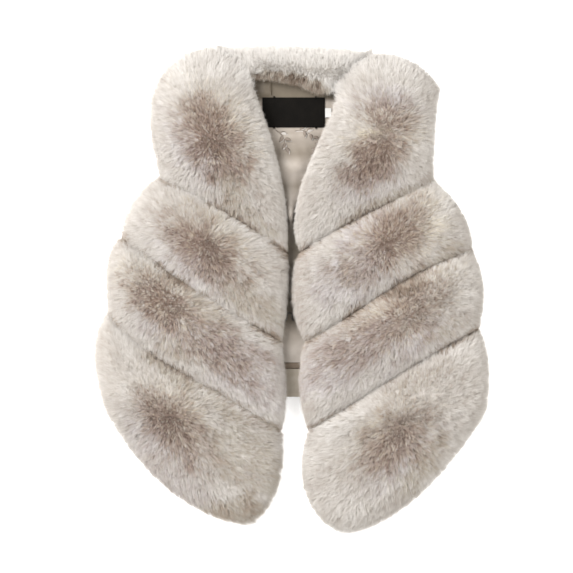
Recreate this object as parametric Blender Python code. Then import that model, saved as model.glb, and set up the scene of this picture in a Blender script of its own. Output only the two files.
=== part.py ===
"""Short faux fur vest, laid flat on its back with the fronts on top.

The wearer's right front lies at -X and the left front at +X, the neck points to +Y, and the
underside rests on Z = 0. Each front is four plump fur bands sewn edge to edge along slanting
seams. Lengths in the tables are millimetres, and MM turns them into Blender's metres.
"""

import math
from collections import namedtuple

import bmesh
import bpy
import numpy as np

MM = 0.001
DOWN = (0, -1)          # direction in plan from the neck to the hem

# Driving dimensions, in millimetres
SEAM_GAP = 0.4          # clear space between two bands at their seam
LAYER_GAP = 0.3         # clear space between two layers that lie on each other
BACK_CENTRE_X = 2.3     # middle line of the back
BACK_THICK = 15.0       # back pelt, its pile pressed flat by the weight on it
BACK_HEM_Y = -124.0     # lower edge of the back
LINING_THICK = 1.5
LINING_INSET = 14.0     # lining stops this far inside the back's outline
LINING_TOP_Y = 262.0
LINING_HEM_Y = -86.0    # fold of the lining's hem
FACING_INSET = 8.0
LABEL_SIZE = (72.0, 34.5)
LABEL_CENTRE = (2.5, 204.3)
LABEL_THICK = 0.8
TAG_SIZE = (7.0, 10.6)
TAG_CENTRE = (42.4, 204.0)
TAG_THICK = 0.6
EYE_WIRE = 1.4          # diameter of the hook eye's wire
EYE_WIDTH = 6.2         # between the middles of its two legs
EYE_LEG = 5.5           # straight length of a leg
EYE_FOOT = 2.2          # each leg's foot turns out by this much
EYE_ARCH_CENTRE = (-2.2, -30.2)
EYE_ARCH_POINTS = 11

# Pile of the fur: how its edge stands, and how it rolls under at a free edge
FREE_EDGE_HEIGHT = 10.0     # a free edge bulges furthest at this height above its underside
FREE_EDGE_TUCK = 11.0       # underside stops this far inside a free edge
HALF_TUCK_HEIGHT = 3.0      # halfway down the roll
HALF_TUCK = 3.5
SEAM_SHARE = 0.42           # height left in the crease of a seam, as a share of the crown
END_REACH = 46.0            # a band rises to its full crown this far from a free end
PILLOW_POWER = 2.2          # roundness of a band's section, 2 is an ellipse
SWELL_POWER = 0.75          # fullness of a free edge between its notches
DROP_START = 14.0           # fronts start to come down this far below the back's hem
DROP_LENGTH = 42.0          # and reach the floor after this much more

# Layers, from the floor up
LINING_Z = BACK_THICK + LAYER_GAP
LABEL_Z = LINING_Z + LINING_THICK + LAYER_GAP
FRONT_Z = LABEL_Z

# Back outline, one row for each level from the neck to the hem
BackLevel = namedtuple("BackLevel", "y half_width")
BACK_LEVELS = (
    BackLevel(271, 78),
    BackLevel(262, 114),
    BackLevel(247, 140),
    BackLevel(229, 153),
    BackLevel(197, 156),
    BackLevel(160, 153),
    BackLevel(128, 151),
    BackLevel(97, 174),
    BackLevel(62, 191),
    BackLevel(22, 205),
    BackLevel(-26, 207),
    BackLevel(-64, 214),
    BackLevel(-100, 212),
    BackLevel(-117, 206),
    BackLevel(BACK_HEM_Y, 194),
)

# Lines across a front, one row for each: the shoulder, three seams and the hem. A line runs
# from its outer end to its inner end and dips by sag below the straight line, most at sag_at.
Line = namedtuple("Line", "outer_x outer_y inner_x inner_y sag sag_at")
RIGHT_LINES = (
    Line(-153, 233, -51, 244, -38, 0.50),
    Line(-151, 128, -6, 41, -4, 0.55),
    Line(-194, 60, -12, -60, 4, 0.45),
    Line(-211, -28, -13, -162, 9, 0.28),
    Line(-216, -113, -52, -267, 34, 0.52),
)
LEFT_LINES = (
    Line(171, 230, 56, 231, -39.5, 0.54),
    Line(164, 123, 11, 42, -3, 0.50),
    Line(207, 44, 18, -60, -8, 0.32),
    Line(215, -44, 21, -161, -3, 0.40),
    Line(221, -140, 62, -278, 24, 0.58),
)

# Bands of a front, one row for each from shoulder to hem: how far the free ends swell out
# beyond the straight line between their notches, where they do so most, and the crown's height
Band = namedtuple("Band", "name outer_swell outer_at inner_swell inner_at crown")
RIGHT_BANDS = (
    Band("front_right_shoulder_band", 10, 0.38, 14, 0.55, 33),
    Band("front_right_chest_band", 11, 0.48, 4, 0.40, 34),
    Band("front_right_waist_band", 11, 0.32, 6, 0.62, 35),
    Band("front_right_hem_lobe", 11, 0.42, 18, 0.58, 33),
)
LEFT_BANDS = (
    Band("front_left_shoulder_band", -3, 0.50, 20, 0.70, 33),
    Band("front_left_chest_band", 12, 0.52, 14, 0.50, 34),
    Band("front_left_waist_band", 10, 0.46, 10, 0.50, 35),
    Band("front_left_hem_lobe", 8, 0.45, 30, 0.56, 33),
)

# Collar strip along the back neck, between the two shoulder bands
COLLAR_FROM_SHARE = 0.66    # it starts this far along each shoulder line
COLLAR_TOP_SAG = -4.2       # its upper edge rises, most at COLLAR_TOP_AT
COLLAR_TOP_AT = 0.62
COLLAR_LOWER_SAG = 8.0      # its lower edge hangs, most at COLLAR_LOWER_AT
COLLAR_LOWER_AT = 0.78
COLLAR_LOWER_POWER = 2.4    # and the more of it is near there, the higher this is
COLLAR_CROWN = 27.0
COLLAR_SEAM_GAP = 2.3
COLLAR_END_CLEAR = 2.6      # its ends turn round the shoulder bands this much further out

# Faces along and across each piece, and how far they crowd towards its edges, 0 to 1
EDGE_CROWDING = 0.65
BAND_ALONG = 16
BAND_ACROSS = 10
SHOULDER_ACROSS = 14
COLLAR_ALONG = 18
COLLAR_ACROSS = 9
BACK_ALONG = 10
BACK_ACROSS = 20
LINING_ROWS = 18
FACING_ROWS = 3
SHEET_COLUMNS = 4
LABEL_ROWS = 2

# Colour, roughness and metallic value of each material
Finish = namedtuple("Finish", "colour roughness metallic")
FINISHES = {
    "fur": Finish((0.66, 0.61, 0.56), 0.9, 0.0),
    "lining": Finish((0.42, 0.37, 0.32), 0.5, 0.0),
    "facing": Finish((0.31, 0.27, 0.22), 0.8, 0.0),
    "label": Finish((0.008, 0.007, 0.006), 0.6, 0.0),
    "tag": Finish((0.85, 0.84, 0.82), 0.7, 0.0),
    "wire": Finish((0.02, 0.02, 0.02), 0.35, 1.0),
}


def clear_scene():
    for item in list(bpy.data.objects):
        bpy.data.objects.remove(item, do_unlink=True)


def make_materials():
    materials = {}
    for name, finish in FINISHES.items():
        material = bpy.data.materials.new(name)
        material.use_nodes = True
        shader = material.node_tree.nodes["Principled BSDF"]
        shader.inputs["Base Color"].default_value = (*finish.colour, 1.0)
        shader.inputs["Roughness"].default_value = finish.roughness
        shader.inputs["Metallic"].default_value = finish.metallic
        materials[name] = material
    return materials


def add_object(name, mesh, material, parent):
    item = bpy.data.objects.new(name, mesh)
    bpy.context.collection.objects.link(item)
    item.data.materials.append(material)
    item.parent = parent
    return item


def swollen_line(start, end, swell, swell_at, towards, power):
    """A line from start to end that swells to one side, as a function of its share 0 to 1."""
    start = np.array(start, float)
    chord = np.array(end, float) - start
    side = np.array((-chord[1], chord[0])) / np.hypot(*chord)
    if side @ np.array(towards, float) < 0:
        side = -side
    near = max(1.0, swell_at / (1 - swell_at))
    far = max(1.0, (1 - swell_at) / swell_at)
    highest = swell_at ** near * (1 - swell_at) ** far

    def point(share):
        share = np.clip(share, 0.0, 1.0)[..., None]
        bulge = (share ** near * (1 - share) ** far / highest) ** power
        return start + chord * share + side * swell * bulge

    return point


def level_line(line, power=1.0):
    """The shoulder, a seam or the hem of a front, from its outer to its inner end."""
    outer = (line.outer_x, line.outer_y)
    inner = (line.inner_x, line.inner_y)
    return swollen_line(outer, inner, line.sag, line.sag_at, DOWN, power)


Patch = namedtuple("Patch", "top bottom outer inner")
FreeEdges = namedtuple("FreeEdges", "top bottom outer inner")


def patch_points(patch, along, across):
    """Points inside four edge lines: along runs outer to inner, across runs top to bottom."""
    first, last = np.zeros(1), np.ones(1)
    a, c = along[..., None], across[..., None]
    ruled = (1 - c) * patch.top(along) + c * patch.bottom(along)
    ruled += (1 - a) * patch.outer(across) + a * patch.inner(across)
    corners = (1 - a) * (1 - c) * patch.top(first) + a * (1 - c) * patch.top(last)
    corners += (1 - a) * c * patch.bottom(first) + a * c * patch.bottom(last)
    return ruled - corners


def edge_crowded(count):
    """Shares 0 to 1 that lie closer together near both ends, where the pile turns over."""
    even = np.linspace(0.0, 1.0, count + 1)
    round_ends = (1 - np.cos(np.pi * even)) / 2
    return (1 - EDGE_CROWDING) * even + EDGE_CROWDING * round_ends


def rise(share, start):
    """Height of a rounded shoulder, from start at its edge to 1 where share reaches 1."""
    left = 1 - np.clip(share, 0.0, 1.0)
    return start + (1 - start) * (1 - left ** PILLOW_POWER) ** (1 / PILLOW_POWER)


def front_underside(y):
    """Height of a front's underside: on the lining, then down to the floor below the hem."""
    share = np.clip((BACK_HEM_Y - DROP_START - y) / DROP_LENGTH, 0.0, 1.0)
    return FRONT_Z * (1 - share * share * (3 - 2 * share))


def fur_pelt(name, patch, free, crown, underside, counts, end_reach=END_REACH, side_reach=None,
             edge_height=FREE_EDGE_HEIGHT, tuck=FREE_EDGE_TUCK, seam_gap=SEAM_GAP):
    """A closed pelt with a crowned pile, creased at its seams and rolled under at free edges."""
    columns, rows = counts
    along, across = np.meshgrid(edge_crowded(columns), edge_crowded(rows))
    width = np.linalg.norm(patch.bottom(along) - patch.top(along), axis=-1)
    length = np.linalg.norm(patch.inner(across) - patch.outer(across), axis=-1)

    def inset_points(free_inset):
        def inset(is_free):
            return free_inset if is_free else seam_gap / 2
        a_from, a_to = inset(free.outer) / length, 1 - inset(free.inner) / length
        c_from, c_to = inset(free.top) / width, 1 - inset(free.bottom) / width
        return patch_points(patch, a_from + (a_to - a_from) * along,
                            c_from + (c_to - c_from) * across)

    def start(is_free):
        return 0.0 if is_free else SEAM_SHARE

    half_width = width / 2 if side_reach is None else side_reach
    share = rise(across * width / half_width, start(free.top))
    share *= rise((1 - across) * width / half_width, start(free.bottom))
    share *= rise(along * length / end_reach, start(free.outer))
    share *= rise((1 - along) * length / end_reach, start(free.inner))

    top, half, low = inset_points(0.0), inset_points(HALF_TUCK), inset_points(tuck)
    top_z = underside(top[..., 1]) + edge_height + (crown - edge_height) * share
    half_z = underside(half[..., 1]) + HALF_TUCK_HEIGHT
    low_z = underside(low[..., 1])
    return closed_stack(name, (top, top_z), (half, half_z), (low, low_z))


def closed_stack(name, top, half, low):
    """A mesh of a top grid and an underside grid, joined round the edge by a middle ring."""
    rows, columns = top[1].shape
    mesh = bpy.data.meshes.new(name)
    shape = bmesh.new()

    def vertex(layer, row, column):
        (plan, z) = layer
        x, y = plan[row, column]
        return shape.verts.new((x * MM, y * MM, z[row, column] * MM))

    def grid(layer):
        return [[vertex(layer, row, column) for column in range(columns)] for row in range(rows)]

    ring_places = [(0, column) for column in range(columns - 1)]
    ring_places += [(row, columns - 1) for row in range(rows - 1)]
    ring_places += [(rows - 1, column) for column in range(columns - 1, 0, -1)]
    ring_places += [(row, 0) for row in range(rows - 1, 0, -1)]
    upper, lower = grid(top), grid(low)
    rings = ([upper[row][column] for row, column in ring_places],
             [vertex(half, row, column) for row, column in ring_places],
             [lower[row][column] for row, column in ring_places])

    for points in (upper, lower):
        for row in range(rows - 1):
            for column in range(columns - 1):
                shape.faces.new((points[row][column], points[row + 1][column],
                                 points[row + 1][column + 1], points[row][column + 1]))
    for ring, next_ring in (rings[:2], rings[1:]):
        for place in range(len(ring)):
            shape.faces.new((ring[place - 1], ring[place], next_ring[place], next_ring[place - 1]))
    bmesh.ops.recalc_face_normals(shape, faces=shape.faces)
    if shape.calc_volume(signed=True) < 0:
        bmesh.ops.reverse_faces(shape, faces=shape.faces)
    shape.to_mesh(mesh)
    shape.free()
    mesh.shade_smooth()
    return mesh


def make_front(lines, bands, side, material, parent):
    """Four bands from shoulder to hem; side is -1 for the wearer's right, 1 for the left."""
    outward, inward = (side, 0), (-side, 0)
    last = len(bands) - 1
    for number, band in enumerate(bands):
        upper, lower = lines[number], lines[number + 1]
        is_shoulder, is_hem = number == 0, number == last
        patch = Patch(
            top=level_line(upper, SWELL_POWER if is_shoulder else 1.0),
            bottom=level_line(lower, SWELL_POWER if is_hem else 1.0),
            outer=swollen_line(upper[0:2], lower[0:2], band.outer_swell, band.outer_at,
                               outward, SWELL_POWER),
            inner=swollen_line(upper[2:4], lower[2:4], band.inner_swell, band.inner_at,
                               inward, SWELL_POWER))
        free = FreeEdges(top=is_shoulder, bottom=is_hem, outer=True, inner=True)
        counts = (BAND_ALONG, SHOULDER_ACROSS if is_shoulder else BAND_ACROSS)
        mesh = fur_pelt(band.name, patch, free, band.crown, front_underside, counts)
        add_object(band.name, mesh, material, parent)


def make_collar(material, parent):
    """The fur roll of the back neck, its ends sewn to the inner half of each shoulder line."""
    def inner_half(line):
        whole = level_line(line._replace(sag=line.sag - COLLAR_END_CLEAR), SWELL_POWER)
        return lambda share: whole(COLLAR_FROM_SHARE + (1 - COLLAR_FROM_SHARE) * share)

    right_end, left_end = inner_half(RIGHT_LINES[0]), inner_half(LEFT_LINES[0])
    first, last = np.zeros(1), np.ones(1)
    patch = Patch(
        top=swollen_line(right_end(first)[0], left_end(first)[0], COLLAR_TOP_SAG,
                         COLLAR_TOP_AT, DOWN, SWELL_POWER),
        bottom=swollen_line(right_end(last)[0], left_end(last)[0], COLLAR_LOWER_SAG,
                            COLLAR_LOWER_AT, DOWN, COLLAR_LOWER_POWER),
        outer=right_end, inner=left_end)
    free = FreeEdges(top=True, bottom=True, outer=False, inner=False)
    mesh = fur_pelt("neck_collar", patch, free, COLLAR_CROWN, front_underside,
                    (COLLAR_ALONG, COLLAR_ACROSS), seam_gap=COLLAR_SEAM_GAP)
    add_object("neck_collar", mesh, material, parent)


def back_half_width(y):
    levels = np.array(BACK_LEVELS)[::-1]
    return np.interp(y, levels[:, 0], levels[:, 1])


def back_side(side, inset, top_y, bottom_y):
    """One side of the back's outline, moved in by inset, as a function of its share."""
    def point(share):
        y = top_y + (bottom_y - top_y) * share
        x = BACK_CENTRE_X + side * (back_half_width(y) - inset)
        return np.stack((x, y), axis=-1)
    return point


def back_patch(inset, top_y, bottom_y):
    outer = back_side(-1, inset, top_y, bottom_y)
    inner = back_side(1, inset, top_y, bottom_y)
    first, last = np.zeros(1), np.ones(1)

    def level(place):
        start, end = outer(place)[0], inner(place)[0]
        return lambda share: start + (end - start) * share[..., None]

    return Patch(top=level(first), bottom=level(last), outer=outer, inner=inner)


def make_back(material, parent):
    """The back pelt, one plain slab of pressed pile with rounded edges and a flat underside."""
    patch = back_patch(0.0, BACK_LEVELS[0].y, BACK_HEM_Y)
    free = FreeEdges(top=True, bottom=True, outer=True, inner=True)
    reach = BACK_THICK
    mesh = fur_pelt("back_panel", patch, free, BACK_THICK, lambda y: 0.0 * y,
                    (BACK_ALONG, BACK_ACROSS), end_reach=reach, side_reach=reach,
                    edge_height=BACK_THICK / 2, tuck=BACK_THICK / 3)
    add_object("back_panel", mesh, material, parent)


def add_sheet(name, plan, z, thick, material, parent):
    """A flat sheet over a grid of plan points, given its thickness upwards by Solidify."""
    rows, columns = plan.shape[:2]
    points = [(x * MM, y * MM, z * MM) for x, y in plan.reshape(-1, 2)]
    faces = []
    for row in range(rows - 1):
        for column in range(columns - 1):
            corner = row * columns + column
            faces.append((corner, corner + columns, corner + columns + 1, corner + 1))
    mesh = bpy.data.meshes.new(name)
    mesh.from_pydata(points, [], faces)
    sheet = add_object(name, mesh, material, parent)
    solidify = sheet.modifiers.new("thickness", "SOLIDIFY")
    solidify.thickness = thick * MM
    solidify.offset = 1.0


def make_lining(materials, parent):
    """The back lining down to its hem fold, and the hem facing below it."""
    pieces = (
        ("back_lining", LINING_INSET, LINING_TOP_Y, LINING_HEM_Y, LINING_ROWS, "lining"),
        ("back_hem_facing", FACING_INSET, LINING_HEM_Y - LAYER_GAP, BACK_HEM_Y, FACING_ROWS,
         "facing"),
    )
    for name, inset, top_y, bottom_y, rows, finish in pieces:
        along, across = np.meshgrid(np.linspace(0, 1, SHEET_COLUMNS + 1),
                                    np.linspace(0, 1, rows + 1))
        plan = patch_points(back_patch(inset, top_y, bottom_y), along, across)
        add_sheet(name, plan, LINING_Z, LINING_THICK, materials[finish], parent)


def make_labels(materials, parent):
    """The bare neck label and, at its side, the bare size tag, both lying on the lining."""
    pieces = (
        ("neck_label", LABEL_CENTRE, LABEL_SIZE, LABEL_THICK, "label"),
        ("size_tag", TAG_CENTRE, TAG_SIZE, TAG_THICK, "tag"),
    )
    for name, centre, size, thick, finish in pieces:
        x, y = np.meshgrid(np.linspace(-0.5, 0.5, SHEET_COLUMNS + 1) * size[0] + centre[0],
                           np.linspace(0.5, -0.5, LABEL_ROWS + 1) * size[1] + centre[1])
        add_sheet(name, np.stack((x, y), axis=-1), LABEL_Z, thick, materials[finish], parent)


def make_hook_eye(material, parent):
    """A wire arch with two straight legs whose feet turn out, lying on the lining."""
    radius = EYE_WIDTH / 2
    centre_x, centre_y = EYE_ARCH_CENTRE
    foot_y = centre_y - EYE_LEG
    turns = np.linspace(math.pi, 0.0, EYE_ARCH_POINTS)
    route = [(-radius - EYE_FOOT, foot_y), (-radius - EYE_FOOT / 4, foot_y + EYE_FOOT / 4)]
    route += [(-radius, foot_y + EYE_FOOT)]
    route += [(radius * math.cos(turn), centre_y + radius * math.sin(turn)) for turn in turns]
    route += [(-x, y) for x, y in reversed(route[:3])]
    curve = bpy.data.curves.new("hook_eye", "CURVE")
    curve.dimensions = "3D"
    curve.bevel_depth = EYE_WIRE / 2 * MM
    curve.bevel_resolution = 2
    curve.use_fill_caps = True
    spline = curve.splines.new("POLY")
    spline.points.add(len(route) - 1)
    wire_z = LABEL_Z + EYE_WIRE / 2
    for point, (x, y) in zip(spline.points, route, strict=True):
        point.co = ((centre_x + x) * MM, y * MM, wire_z * MM, 1.0)
    add_object("hook_eye", curve, material, parent)


def main():
    clear_scene()
    materials = make_materials()
    vest = bpy.data.objects.new("vest", None)
    bpy.context.collection.objects.link(vest)
    make_back(materials["fur"], vest)
    make_lining(materials, vest)
    make_labels(materials, vest)
    make_collar(materials["fur"], vest)
    make_front(RIGHT_LINES, RIGHT_BANDS, -1, materials["fur"], vest)
    make_front(LEFT_LINES, LEFT_BANDS, 1, materials["fur"], vest)
    make_hook_eye(materials["wire"], vest)


main()
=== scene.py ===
"""Looks of the faux fur vest: pile, lining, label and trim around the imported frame.

Lengths are millimetres in the frame's axes, and MM turns them into Blender's metres. The vest
lies on its back, and the camera looks straight down on it.
"""

import math
from collections import namedtuple

import bmesh
import bpy
import numpy as np
from mathutils.bvhtree import BVHTree
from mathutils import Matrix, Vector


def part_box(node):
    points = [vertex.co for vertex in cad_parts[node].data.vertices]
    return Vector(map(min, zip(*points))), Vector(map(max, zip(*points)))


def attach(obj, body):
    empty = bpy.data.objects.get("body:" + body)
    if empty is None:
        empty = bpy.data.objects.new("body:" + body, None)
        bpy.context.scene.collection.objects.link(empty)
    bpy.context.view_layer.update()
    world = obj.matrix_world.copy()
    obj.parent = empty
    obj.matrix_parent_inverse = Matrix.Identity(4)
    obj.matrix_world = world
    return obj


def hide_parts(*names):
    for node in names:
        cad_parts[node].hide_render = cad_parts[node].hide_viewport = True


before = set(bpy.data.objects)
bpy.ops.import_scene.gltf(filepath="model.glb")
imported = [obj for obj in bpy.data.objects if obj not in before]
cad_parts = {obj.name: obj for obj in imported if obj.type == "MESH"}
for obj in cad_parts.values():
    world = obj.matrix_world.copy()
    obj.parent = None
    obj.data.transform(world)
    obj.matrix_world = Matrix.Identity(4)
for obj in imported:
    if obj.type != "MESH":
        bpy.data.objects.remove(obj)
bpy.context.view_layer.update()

MM = 0.001
UP = np.array((0.0, 0.0, 1.0))
SEED = 11

# Camera: the width of the picture at the height where the vest is widest, and its middle
VIEW_CENTRE = (-5.75, 3.45)
VIEW_WIDTH = 659.0
OUTLINE_HEIGHT = 27.0
CAMERA_HEIGHT = 2600.0
SENSOR_WIDTH = 36.0

# Soft boxes, one row each: where it hangs, its size and its power
SoftBox = namedtuple("SoftBox", "name x y z size watts colour")
SOFT_BOXES = (
    SoftBox("key_light", -2600, 1600, 2900, 2600, 370, (0.985, 0.99, 1.0)),
    SoftBox("fill_light", 1700, -900, 2100, 1800, 45, (1.0, 0.99, 0.97)),
)
SKY_STRENGTH = 0.9
SKY_COLOUR = (1.0, 0.985, 0.96)
FLOOR_SIZE = 9000.0
FLOOR_COLOUR = (0.93, 0.93, 0.93)
FLOOR_GLOW = 0.45  # the floor is lit from below a little, as on a light table

# Pile of the fur
PILE_DEPTH = 5.3  # from the roots to the tips of the hairs
PELT_SHARE = 0.95  # the pelt that shows between hairs lies this far down to the roots
PELT_TONE = 0.40  # its colour, on the way from the roots' to the tips'
MEAN_HEIGHT = 1.08  # height of the hairs, as a share of the pile's depth
HEIGHT_SPREAD = 0.08  # spread of the tufts' heights, as a share
LENGTH_SPREAD = 0.12  # and of the hairs' lengths
HAIRS_PER_TUFT = 8
BENT_PER_TUFT = 1  # of these, the guard hairs that bend over
TUFT_SPREAD = 0.75  # spread of the roots in a tuft
DYED_SPREAD = 0.40  # and where the hair is dyed
TUFT_PINCH = 0.25  # how far the tips of a tuft draw together
DYED_PINCH = 0.75  # and where the hair is dyed
MIDDLE_PINCH = 0.3  # share of this that is done halfway up
HAIR_WIDTH = 0.38
MIDDLE_WIDTH = 0.8  # width of a bent hair halfway up, as a share of its width at the root
LOWEST_HAIR = 0.4  # hairs lie on the floor at this height
EDGE_REACH = 1.4  # hairs reach out further by this much along the outline
RIM_SLOPE = 0.8  # part of a normal up to which its face is more or less a rim
UNDERSIDE = -0.7  # no hair grows on faces whose normal points down by more than this
LOWEST_NORMAL = -0.1  # and hair on the other faces points down by no more than this

# Lean of the hair
TIP_FALL = 0.36  # rise of the outer half of a hair that lies flat
ROOT_LEAN = 0.45  # lean of its inner half, as a share of the whole lean
MOST_LEAN = 0.85  # lean of hair that lies as flat as it does anywhere
LEAST_CLIMB = 0.5  # hair that climbs by less than this share of its length isn't longer
PATCH_UPRIGHT = 0.15  # dyed hair stands up more by this share
DROOP = 0.45  # how strongly the hair hangs on upright faces
TUFT_STRAY = 0.08  # how far tufts stray from the lean around them
DYED_STRAY = 0.08  # and how much further where they are dyed
ROOT_STRAY = 0.14  # how far the inner half of a hair strays from its tuft's lean
TIP_STRAY = 0.18  # and the outer half
SIDE_STRAY = 0.05  # and the direction in which a tuft spreads
TWIST = 0.6  # how far the ribbons of hair turn away from facing out
EDGE_LIFT = 0.70  # how far the shading of upright faces turns up
FLAT_SHARE = 0.80  # and how far that of a hair follows its own face

# Seams between the fur pieces
SEAM_ROOT_SHARE = 0.20  # roots at a seam lie only this share as deep
SEAM_HEIGHT_SHARE = 0.50  # and hairs there are only this share as high
SEAM_REACH = 7.0  # the pile is whole this far from a seam
SEAM_WALL = 1.6  # faces nearer than this to the next solid are sewn shut
# Painted shade in the creases: hair near open seams is darker, and dark tufts are strewn beside them
SEAM_SHADE_REACH = 13.0  # dark hairs are strewn this far from a seam
SEAM_STREWN = 0.7  # share of the tufts that are dark right at it
SEAM_DARK = 0.40  # hair in a seam is this much darker on the scale of tones
COVERED_REACH = 24.0  # the seam at the collar's ends is filled over this far
COVERED_HEIGHT = 38.0  # and up to this height on the shoulders
COLLAR_END_HEIGHT = 36.0  # and to this on the collar
FILLED_SEAM = 0.4  # walls that are filled by more than this share grow hair
COVER_REACH = 1.5  # hairs on the shoulders are longer there by this much
COVERED_UPRIGHT = 0.15  # hairs at the outline's corners there stand up more by this share
COLLAR_END_SHORT = 0.8  # and on the collar they are shorter by this share
FRINGE_REACH = 1.5  # hairs that hang from the collar's lower edge are longer by this much

# Soft steps, each from where it begins to where it is whole
FILL_SLOPES = (-0.3, 0.2)  # upward part of a normal, for walls that are filled
CORNER_SLOPES = (0.1, 0.5)  # its part towards the neck, for the outline's corners
UNDERSIDE_SLOPES = (0.2, 0.7)  # its downward part, for the underside of a pelt
PATCH_EDGE = (0.30, 1.25)  # the dye fades between these shares of a patch's reach
FRINGE_START = (0.15, 0.65)  # its cream and lilac fringe begins between these
FRINGE_END = (0.85, 1.55)  # and ends between these
# Painted shade and painted light of the tinges fade between the same shares
TINGE_EDGE = (0.4, 1.2)  # a tinge fades between these shares of its reach
SEAM_EDGE = (0.5, 1.2)  # and an open seam closes between these

# Smooth noise: how strong it is, and how long its waves are
Noise = namedtuple("Noise", "strength wavelength")
WAVE_RANGE = (0.6, 1.5)  # lengths of its single waves, as shares
LEAN_NOISE = Noise(0.11, 14.0)
PATCH_NOISES = (Noise(0.09, 26.0), Noise(0.06, 9.0))
TONE_NOISES = (Noise(0.03, 45.0), Noise(0.03, 8.0))
SEAM_NOISE = Noise(0.25, 40.0)
STREAK_NOISE = Noise(0.5, 5.0)
STREAK_LENGTH = 5  # streaks are this many times as long as they are wide

# Hair of each fur piece: how many hairs, the point that they lean away from, which way, in
# degrees, and how strongly they are combed besides, how much painted shade darkens rims on the side
# that the key light is on, how much of the lean away from the point may be sideways, and how far
# from the point they lie flat
Fur = namedtuple("Fur", "hairs x y comb comb_strength rim_shade sideways flat_reach", defaults=(1.0, 26))
FURS = {
    "front_right_shoulder_band": Fur(80000, -90, 168, -60, 0.20, 0.06),
    "front_right_chest_band": Fur(68000, -94, 46, -50, 0.25, 0.06),
    "front_right_waist_band": Fur(76000, -128, -24, -48, 0.60, 0.06),
    "front_right_hem_lobe": Fur(86000, -139, -162, -55, 0.20, 0.06),
    "front_left_shoulder_band": Fur(80000, 104, 176, -120, 0.20, 0.08),
    "front_left_chest_band": Fur(68000, 104, 48, -130, 0.25, 0.15),
    "front_left_waist_band": Fur(76000, 118, -44, -135, 0.60, 0.16),
    "front_left_hem_lobe": Fur(86000, 122, -172, -125, 0.20, 0.05),
    "neck_collar": Fur(36000, 8, 245, 90, 0.10, 0.00, 0.0, 12),
    "back_panel": Fur(18000, 2, 70, -90, 0.20, 0.00),
}
# Where hair along the outline is longer, or shorter, than EDGE_REACH says: the way it points, in
# degrees, and by how much
Reach = namedtuple("Reach", "piece way more")
REACHES = (
    Reach("front_right_shoulder_band", 180, 1.0),
    Reach("front_right_shoulder_band", 0, -1.8),
    Reach("front_right_chest_band", 180, 2.0),
    Reach("front_right_waist_band", 180, 2.0),
    Reach("front_right_hem_lobe", 180, 2.4),
    Reach("front_right_hem_lobe", -90, 3.6),
    Reach("front_right_hem_lobe", -20, 3.0),
    Reach("neck_collar", 90, 1.6),
    Reach("front_left_shoulder_band", 180, -3.4),
    Reach("front_left_shoulder_band", 90, 2.4),
    Reach("front_left_hem_lobe", -70, 4.2),
)
# Pieces whose seams are creased
CREASED = tuple(name for name in FURS if name.startswith("front"))
# Cloth that the fur lies on
CLOTH = ("back_lining", "back_hem_facing")
# Pieces that run into each other at the collar's ends
COVERED_BY = {
    "neck_collar": ("front_right_shoulder_band", "front_left_shoulder_band"),
    "front_right_shoulder_band": ("neck_collar",),
    "front_left_shoulder_band": ("neck_collar",),
}

# Dyed patches, one row each: the middle, how far it reaches along and across its own slant, how
# dark it is, and the side, in degrees, where its fringe turns from lilac to cream
Patch = namedtuple("Patch", "piece x y along across slant dark warm")
PATCHES = (
    Patch("front_right_shoulder_band", -90, 172, 62, 37, -58, 0.92, 40),
    Patch("front_right_chest_band", -100, 45, 66, 30, -38, 0.84, 50),
    Patch("front_right_waist_band", -148, -16, 54, 31, -40, 0.80, 80),
    Patch("front_right_waist_band", -88, -64, 80, 30, -37, 0.62, 130),
    Patch("front_right_hem_lobe", -135, -158, 62, 33, -48, 0.78, 45),
    Patch("front_left_shoulder_band", 110, 197, 40, 26, -15, 0.68, -90),
    Patch("front_left_shoulder_band", 94, 148, 49, 31, 42, 0.88, 90),
    Patch("front_left_chest_band", 118, 60, 54, 38, 45, 0.80, 20),
    Patch("front_left_chest_band", 82, 31, 52, 30, 32, 0.54, 60),
    Patch("front_left_chest_band", 61, 28, 20, 7, 100, 0.85, 0),
    Patch("front_left_waist_band", 131, -28, 68, 36, 38, 0.60, 100),
    Patch("front_left_waist_band", 81, -59, 74, 32, 36, 0.58, 50),
    Patch("front_left_hem_lobe", 120, -176, 60, 33, 37, 0.68, 120),
)
# Places where a seam lies open, its hair shorter and darkened with painted shade, how open, and how open
# it is elsewhere
OpenSeam = namedtuple("OpenSeam", "x y reach share", defaults=(1.0,))
OPEN_SEAMS = (
    OpenSeam(-66, 82, 40),
    OpenSeam(-13, 49, 20),
    OpenSeam(-137, 19, 26),
    OpenSeam(-32, -48, 26),
    OpenSeam(-140, -86, 34),
    OpenSeam(-76, -122, 40, 0.55),
    OpenSeam(-30, -151, 30, 0.55),
    OpenSeam(-150, 96, 30, 0.45),
    OpenSeam(86, 86, 42),
    OpenSeam(12, 43, 20, 0.9),
    OpenSeam(20, -58, 24, 0.6),
    OpenSeam(130, 11, 40),
    OpenSeam(74, -25, 20),
    OpenSeam(190, -57, 34),
)
SEAM_OPEN_ELSEWHERE = 0.22
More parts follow.
